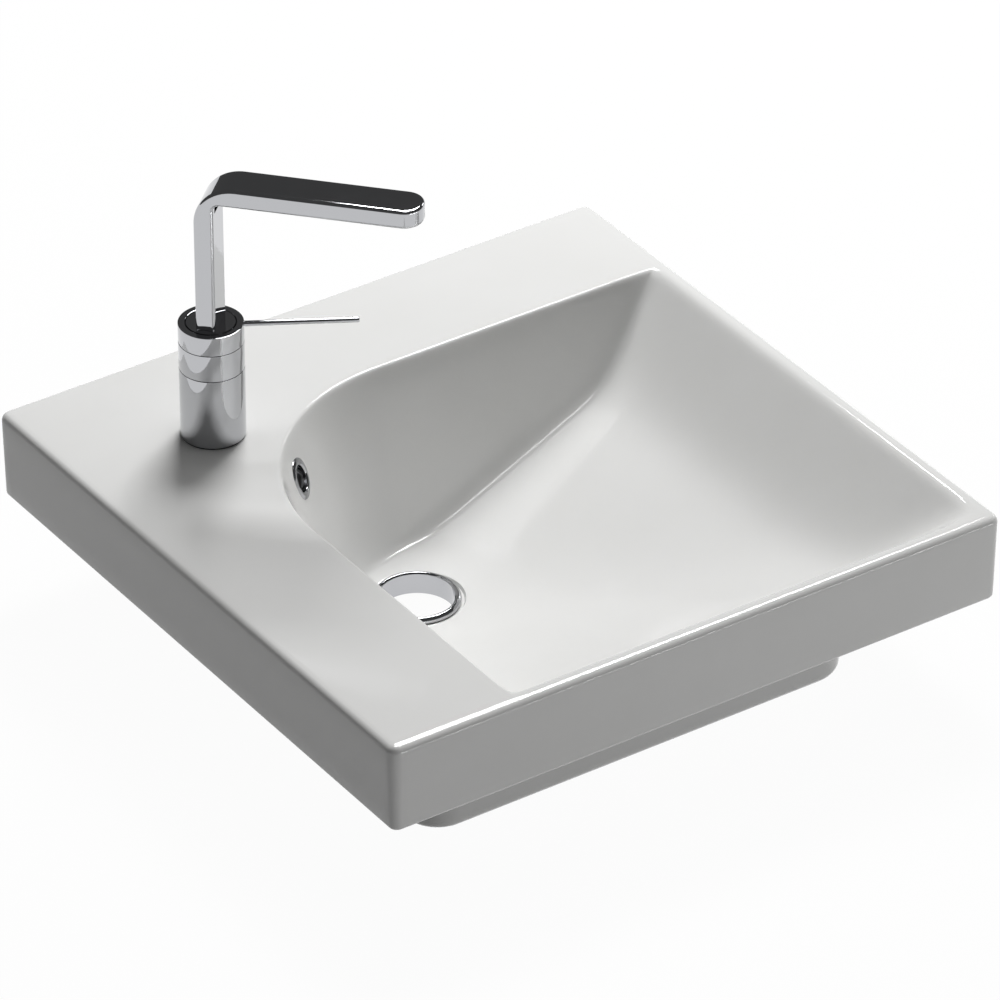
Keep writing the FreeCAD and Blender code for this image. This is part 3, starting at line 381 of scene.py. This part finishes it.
def scoopTree(material):
    tree = bpy.data.node_groups.new("scoopRule", "GeometryNodeTree")
    tree.interface.new_socket("Geometry", in_out="INPUT", socket_type="NodeSocketGeometry")
    tree.interface.new_socket("Geometry", in_out="OUTPUT", socket_type="NodeSocketGeometry")
    for name, value in scoopRule.items():
        tree.interface.new_socket(name, in_out="INPUT", socket_type="NodeSocketFloat").default_value = value
    inputs = addNode(tree, "NodeGroupInput").outputs
    position = addNode(tree, "GeometryNodeInputPosition").outputs[0]
    place = addNode(tree, "ShaderNodeSeparateXYZ", {0: position}).outputs
    terms = {name: inputs[name] for name in scoopRule}
    terms.update(x=place["X"], y=place["Y"])
    for name, kind in (("wallOffset", "FLOAT"), ("lid", "FLOAT"), ("follows", "BOOLEAN")):
        given = addNode(tree, "GeometryNodeInputNamedAttribute", {"Name": name}, data_type=kind)
        terms[name] = given.outputs[0]
    steps = (
        # distance in from the steep wall, round its corner
        ("arcX", "ADD", "Left Edge", "Corner Radius"),
        ("arcY", "SUBTRACT", "Back Edge", "Corner Radius"),
        ("toLeft", "SUBTRACT", "arcX", "x"),
        ("toBack", "SUBTRACT", "y", "arcY"),
        ("left", "MAXIMUM", "toLeft", 0.0),
        ("back", "MAXIMUM", "toBack", 0.0),
        ("backSquare", "MULTIPLY", "back", "back"),
        ("arcSquare", "MULTIPLY_ADD", "left", "left", "backSquare"),
        ("fromArc", "SQRT", "arcSquare"),
        ("inside", "SUBTRACT", "Corner Radius", "fromArc"),
        # each slope carried one wall thickness outwards
        ("wallSquare", "MULTIPLY_ADD", "Wall Slope", "Wall Slope", 1.0),
        ("wallStretch", "SQRT", "wallSquare"),
        ("wallShift", "MULTIPLY", "wallStretch", "wallOffset"),
        ("bankSquare", "MULTIPLY_ADD", "Bank Slope", "Bank Slope", 1.0),
        ("bankStretch", "SQRT", "bankSquare"),
        ("bankShift", "MULTIPLY", "bankStretch", "wallOffset"),
        ("rampSquare", "MULTIPLY_ADD", "Ramp Slope", "Ramp Slope", 1.0),
        ("rampStretch", "SQRT", "rampSquare"),
        ("rampShift", "MULTIPLY_ADD", "rampStretch", "wallOffset", "Bowl Depth"),
        # the two banks that run out at the right and front rims
        ("runRight", "SUBTRACT", "Right Rim", "x"),
        ("runFront", "SUBTRACT", "y", "Front Rim"),
        ("shortRight", "SUBTRACT", "runRight", "Ramp Length"),
        ("shortFront", "SUBTRACT", "runFront", "Ramp Length"),
        ("bankRight", "MULTIPLY_ADD", "Bank Slope", "runRight", "bankShift"),
        ("bankFront", "MULTIPLY_ADD", "Bank Slope", "runFront", "bankShift"),
        ("rampRight", "MULTIPLY_ADD", "Ramp Slope", "shortRight", "rampShift"),
        ("rampFront", "MULTIPLY_ADD", "Ramp Slope", "shortFront", "rampShift"),
        ("sideRight", "SMOOTH_MIN", "bankRight", "rampRight", "Bank Blend"),
        ("sideFront", "SMOOTH_MIN", "bankFront", "rampFront", "Bank Blend"),
        ("valley", "SMOOTH_MIN", "sideRight", "sideFront", "Valley Blend"),
        ("flat", "ADD", "Bowl Depth", "wallOffset"),
        ("floor", "SMOOTH_MIN", "valley", "flat", "Bottom Blend"),
        ("wall", "MULTIPLY_ADD", "Wall Slope", "inside", "wallShift"),
        ("bowl", "SMOOTH_MIN", "wall", "floor", "Crease Blend"),
        # shallow dish round the waste
        ("fromX", "SUBTRACT", "x", "Drain X"),
        ("fromY", "SUBTRACT", "y", "Drain Y"),
        ("drainSquare", "MULTIPLY", "fromY", "fromY"),
        ("drainReach", "MULTIPLY_ADD", "fromX", "fromX", "drainSquare"),
        ("fromDrain", "SQRT", "drainReach"),
        ("pastSeat", "SUBTRACT", "fromDrain", "Seat Radius"),
        ("outward", "MAXIMUM", "pastSeat", 0.0),
        ("rise", "MULTIPLY", "outward", "Seat Slope"),
        ("dish", "SUBTRACT", "Seat Depth", "rise"),
        ("deep", "SMOOTH_MAX", "bowl", "dish", "Seat Blend"),
        ("open", "SUBTRACT", "Deck Level", "deep"),
        ("level", "SMOOTH_MIN", "open", "lid", "Rim Blend"),
    )
    for name, operation, *given in steps:
        links = {i: terms.get(term, term) for i, term in enumerate(given)}
        terms[name] = addNode(tree, "ShaderNodeMath", links, operation=operation).outputs[0]
    spot = addNode(tree, "ShaderNodeCombineXYZ", {0: terms["x"], 1: terms["y"], 2: terms["level"]}).outputs[0]
    moved = addNode(tree, "GeometryNodeSetPosition", {"Geometry": inputs["Geometry"], "Position": spot,
                                                      "Selection": terms["follows"]}).outputs[0]
    real = addNode(tree, "GeometryNodeRealizeInstances", {0: moved}).outputs[0]
    shown = addNode(tree, "GeometryNodeSetMaterial", {"Geometry": real, "Material": material}).outputs[0]
    addNode(tree, "NodeGroupOutput", {"Geometry": shown})
    return tree


def cutHole(target, radius, depth, place):
    # takes a round hole out of the casting
    bm = bmesh.new()
    bmesh.ops.create_cone(bm, cap_ends=True, segments=96, radius1=radius, radius2=radius, depth=depth,
                          matrix=place)
    mesh = bpy.data.meshes.new("holeTool")
    bm.to_mesh(mesh)
    bm.free()
    tool = bpy.data.objects.new("holeTool", mesh)
    bpy.context.scene.collection.objects.link(tool)
    cutter = target.modifiers.new("hole", "BOOLEAN")
    cutter.object = tool
    cutter.operation = "DIFFERENCE"
    cutter.solver = "MANIFOLD"
    bpy.context.view_layer.update()
    result = bpy.data.meshes.new_from_object(target.evaluated_get(bpy.context.evaluated_depsgraph_get()))
    target.modifiers.clear()
    bpy.data.objects.remove(tool)
    old = target.data
    target.data = result
    bpy.data.meshes.remove(old)


def makeBasin():
    sections = [basinSection(*place) for place in deckBoundary()]
    bm = bmesh.new()
    follows = bm.verts.layers.bool.new("follows")
    wallOffset = bm.verts.layers.float.new("wallOffset")
    lid = bm.verts.layers.float.new("lid")
    rows = []
    for section in sections:
        row = []
        for spot, byRule, wall, cover in section:
            vert = bm.verts.new(spot)
            vert[follows] = byRule
            vert[wallOffset] = wall
            vert[lid] = cover
            row.append(vert)
        rows.append(row)
    size = len(rows[0])
    for one, two in zip(rows, rows[1:] + rows[:1]):
        for i in range(size):
            j = (i + 1) % size
            bm.faces.new((one[i], two[i], two[j], one[j]))
    mesh = bpy.data.meshes.new("basinBlank")
    bm.to_mesh(mesh)
    bm.free()
    blank = bpy.data.objects.new("basinBlank", mesh)
    bpy.context.scene.collection.objects.link(blank)
    tree = scoopTree(china)
    modifier = blank.modifiers.new("scoop", "NODES")
    modifier.node_group = tree
    for item in tree.interface.items_tree:
        if item.in_out == "INPUT" and item.name in scoopRule:
            modifier[item.identifier] = scoopRule[item.name]
    bpy.context.view_layer.update()
    shaped = bpy.data.meshes.new_from_object(blank.evaluated_get(bpy.context.evaluated_depsgraph_get()))
    bpy.data.objects.remove(blank)
    bm = bmesh.new()
    bm.from_mesh(shaped)
    bmesh.ops.remove_doubles(bm, verts=bm.verts, dist=2e-6)
    bmesh.ops.dissolve_degenerate(bm, dist=1e-6, edges=bm.edges)
    bmesh.ops.recalc_face_normals(bm, faces=bm.faces)
    bm.to_mesh(shaped)
    bm.free()
    for name in ("follows", "wallOffset", "lid"):
        shaped.attributes.remove(shaped.attributes[name])
    cast = bpy.data.objects.new("basinCasting", shaped)
    bpy.context.scene.collection.objects.link(cast)
    tapX, tapY = basin["tap"]
    cutHole(cast, basin["tapHole"], basin["holeDepth"], Matrix.Translation((tapX, tapY, basin["deck"])))
    cutHole(cast, overflow["sleeve"] * mm, basin["holeDepth"], overflowPlace())
    mesh = cast.data
    bpy.data.objects.remove(cast)
    piece = dressObject("basinGlaze", mesh, china, "basin", 38)
    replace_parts(piece, "basin_body")
    print("basin casting:", len(mesh.polygons), "faces")


# overflow trim: its place in metres and degrees, its turned outline in mm
overflow = {"drop": 0.0295, "sink": 0.0004, "wallAngle": 70.0, "boreRadius": 9.5, "sleeve": 10.5,
            "ringRadius": 15.0, "thickness": 1.8, "shoulder": 0.9, "crown": (10.6, 12.3), "length": 8.0}


def overflowPlace():
    # on the corner wall, square to it, a little sunk
    tilt = math.radians(overflow["wallAngle"])
    normal = Vector((math.sin(tilt) * math.sqrt(0.5), -math.sin(tilt) * math.sqrt(0.5), math.cos(tilt)))
    out = scoopRule["Corner Radius"] - overflow["drop"] / math.tan(tilt)
    spot = Vector((-out * math.sqrt(0.5), out * math.sqrt(0.5), basin["deck"] - overflow["drop"]))
    spot -= normal * overflow["sink"]
    return Matrix.Translation(spot) @ normal.to_track_quat("Z", "Y").to_matrix().to_4x4()


makeBasin()


# waste, in mm
waste = {"boreRadius": 27.0, "sleeve": 28.5, "length": 12.0, "flangeRadius": 31.5, "gasket": 0.8,
         "shoulder": 2.9, "top": 5.0, "crown": (28.1, 29.6), "lip": 3.9}


def makeDrainFlange():
    inner, outer = waste["crown"]
    bore, sleeve, flange = waste["boreRadius"], waste["sleeve"], waste["flangeRadius"]
    profile = [(bore, -waste["length"]), (sleeve, -waste["length"]), (sleeve, waste["gasket"]),
               (flange, waste["gasket"], 0.3), (flange, waste["shoulder"], 1.4), (outer, waste["top"], 1.2),
               (inner, waste["top"], 0.8), (bore, waste["lip"], 0.6)]
    place = Matrix.Translation((basin["drain"][0], basin["drain"][1], basin["seatLevel"]))
    bm = turnedMesh(softCorners(profile, 0.15, 5), place, 160)
    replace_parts(meshObject("drainFlangeTurned", bm, chrome, "basin"), "drain_flange")


def makeOverflowRing():
    inner, outer = overflow["crown"]
    bore, sleeve, ring = overflow["boreRadius"], overflow["sleeve"], overflow["ringRadius"]
    length, shoulder, top = overflow["length"], overflow["shoulder"], overflow["thickness"]
    profile = [(bore, -length), (sleeve, -length), (sleeve, 0.0), (ring, 0.0, 0.1), (ring, shoulder, 0.6),
               (outer, top, 1.0), (inner, top, 0.8), (bore, shoulder, 0.5)]
    bm = turnedMesh(softCorners(profile, 0.1, 5), overflowPlace(), 128)
    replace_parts(meshObject("overflowRingTurned", bm, chrome, "basin"), "overflow_ring")


makeDrainFlange()
makeOverflowRing()
print("waste and overflow trim ready")


# tap, in mm
tap = {"radius": 23.0, "body": (1.0, 55.3), "collar": (55.7, 76.2), "ring": (76.5, 90.9), "bore": 15.6,
       "ringBore": 20.6, "discHole": 18.0, "lip": 1.8, "edge": 0.25, "leverAngle": -30.4, "rodRadius": 2.0,
       "rodEnds": (19.5, 102.5), "rodLevel": 88.3, "heelFrom": 18.9, "heelAngle": 10.0, "heelBand": 1.0}
tapPlace = Matrix.Translation((basin["tap"][0], basin["tap"][1], basin["deck"]))


def raiseHeel(bm):
    # the lower edge of the lever ring rises behind its hinge, so that the ring can tip
    angle = math.radians(tap["leverAngle"])
    lever = Vector((math.cos(angle), math.sin(angle), 0))
    for vert in bm.verts:
        spot = tapPlace.inverted() @ vert.co / mm
        behind = -spot.dot(lever) - tap["heelFrom"]
        if behind > 0 and spot.z < tap["ring"][0] + tap["heelBand"]:
            vert.co.z += behind * math.tan(math.radians(tap["heelAngle"])) * mm


def makeTapRings():
    outer, edge, bore = tap["radius"], tap["edge"], tap["bore"]
    hole, ringBore = tap["discHole"], tap["ringBore"]
    bodyLow, bodyHigh = tap["body"]
    low, high = tap["collar"]
    ringLow, ringHigh = tap["ring"]
    underLip = ringHigh - tap["lip"]
    rings = {
        "tapBodyTurned": ("tap_body", "basin", [(bore, bodyLow), (outer, bodyLow, edge),
                                                (outer, bodyHigh, edge), (bore, bodyHigh)]),
        "collarTurned": ("swivel_collar", "collar", [(bore, low), (outer, low, edge), (outer, high, edge),
                                                     (bore, high)]),
        "leverRingTurned": ("lever_ring", "lever", [(ringBore, ringLow), (outer, ringLow, edge),
                                                    (outer, ringHigh, 2 * edge), (hole, ringHigh, 2 * edge),
                                                    (hole, underLip), (ringBore, underLip)]),
    }
    for name, (node, body, profile) in rings.items():
        bm = turnedMesh(softCorners(profile, 0.05, 4), tapPlace, 192)
        if body == "lever":
            raiseHeel(bm)
        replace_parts(meshObject(name, bm, chrome, body), node)


def makeLeverRod():
    start, end = tap["rodEnds"]
    turn = Matrix.Rotation(math.radians(tap["leverAngle"]), 4, "Z")
    lay = Matrix.Translation((0, 0, tap["rodLevel"] * mm)) @ Matrix.Rotation(math.pi / 2, 4, "Y")
    rod = tap["rodRadius"]
    profile = softCorners([(0.001, start), (rod, start, 0.1), (rod, end, 0.7), (0.001, end)], 0.0, 5)
    bm = turnedMesh(profile, tapPlace @ turn @ lay, 48)
    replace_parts(meshObject("leverRodTurned", bm, chrome, "lever"), "lever_rod")


makeTapRings()
makeLeverRod()
print("tap ready")


# stage, light and camera
stage = {"floor": "#9C9C9C", "floorSize": 16.0, "seenWhite": "#FFFFFF", "seenShare": 0.9,
         "seenStrength": 1.07, "world": "#6A6A6A", "worldStrength": 0.5}
lamps = {  # place, aim, width, height and power
    "softboxBackRight": ((1.01, 1.12, 2.24), (0.0, 0.0, 0.10), 0.95, 0.95, 62.0),
    "softboxAbove": ((0.10, 0.05, 2.60), (0.0, 0.0, 0.10), 0.55, 0.55, 6.0),
    "softboxRight": ((2.60, 0.55, 1.05), (0.0, 0.0, 0.10), 0.55, 0.55, 3.8),
    "lowCardFront": ((0.55, -1.80, 0.09), (0.0, -0.25, 0.06), 1.6, 0.14, 6.5),
}
view = {"azimuth": -34.06, "elevation": 33.36, "roll": -0.10, "distance": 5.663, "across": 0.0036,
        "up": -0.0254, "lens": 295.24, "aim": (0.0, 0.0, 0.143)}


def makeStage():
    bm = bmesh.new()
    bmesh.ops.create_grid(bm, x_segments=1, y_segments=1, size=stage["floorSize"] / 2)
    mesh = bpy.data.meshes.new("floor")
    bm.to_mesh(mesh)
    bm.free()
    floor = bpy.data.objects.new("floor", mesh)
    bpy.context.scene.collection.objects.link(floor)
    material = bpy.data.materials.new("paleFloorPaint")
    material.use_nodes = True
    tree = material.node_tree
    tree.nodes.clear()
    paint = addNode(tree, "ShaderNodeBsdfDiffuse", {"Color": hexColour(stage["floor"])})
    glow = addNode(tree, "ShaderNodeEmission", {"Color": hexColour(stage["seenWhite"]),
                                                "Strength": stage["seenStrength"]})
    path = addNode(tree, "ShaderNodeLightPath").outputs
    seen = addNode(tree, "ShaderNodeMath", {0: path["Is Camera Ray"], 1: path["Is Glossy Ray"]},
                   operation="MAXIMUM")
    seen = addNode(tree, "ShaderNodeMath", {0: seen.outputs[0], 1: path["Is Transmission Ray"]},
                   operation="MAXIMUM")
    share = addNode(tree, "ShaderNodeMath", {0: seen.outputs[0], 1: stage["seenShare"]}, operation="MULTIPLY")
    mix = addNode(tree, "ShaderNodeMixShader", {0: share.outputs[0], 1: paint.outputs[0], 2: glow.outputs[0]})
    addNode(tree, "ShaderNodeOutputMaterial", {"Surface": mix.outputs[0]})
    mesh.materials.append(material)
    world = bpy.data.worlds.new("studio")
    bpy.context.scene.world = world
    world.use_nodes = True
    air = world.node_tree.nodes["Background"]
    air.inputs["Color"].default_value = hexColour(stage["world"])
    air.inputs["Strength"].default_value = stage["worldStrength"]
    for name, (place, aim, width, height, power) in lamps.items():
        lamp = bpy.data.lights.new(name, "AREA")
        lamp.shape = "RECTANGLE"
        lamp.size = width
        lamp.size_y = height
        lamp.energy = power
        holder = bpy.data.objects.new(name, lamp)
        holder.location = place
        holder.rotation_euler = (Vector(aim) - Vector(place)).to_track_quat("-Z", "Y").to_euler()
        bpy.context.scene.collection.objects.link(holder)


def makeCamera():
    azimuth, elevation, roll = (math.radians(view[k]) for k in ("azimuth", "elevation", "roll"))
    forward = Vector((-math.sin(azimuth) * math.cos(elevation), math.cos(azimuth) * math.cos(elevation),
                      -math.sin(elevation)))
    right = Vector((math.cos(azimuth), math.sin(azimuth), 0))
    up = right.cross(forward)
    right, up = right * math.cos(roll) + up * math.sin(roll), up * math.cos(roll) - right * math.sin(roll)
    spot = Vector(view["aim"]) + right * view["across"] + up * view["up"] - forward * view["distance"]
    data = bpy.data.cameras.new("camera")
    data.sensor_width = 36.0
    data.lens = view["lens"]
    data.clip_end = 50.0
    camera = bpy.data.objects.new("camera", data)
    camera.matrix_world = Matrix((right, up, -forward)).transposed().to_4x4()
    camera.location = spot
    bpy.context.scene.collection.objects.link(camera)
    bpy.context.scene.camera = camera


makeStage()
makeCamera()
bpy.context.scene.view_settings.view_transform = "Standard"
print("stage, light and camera ready")
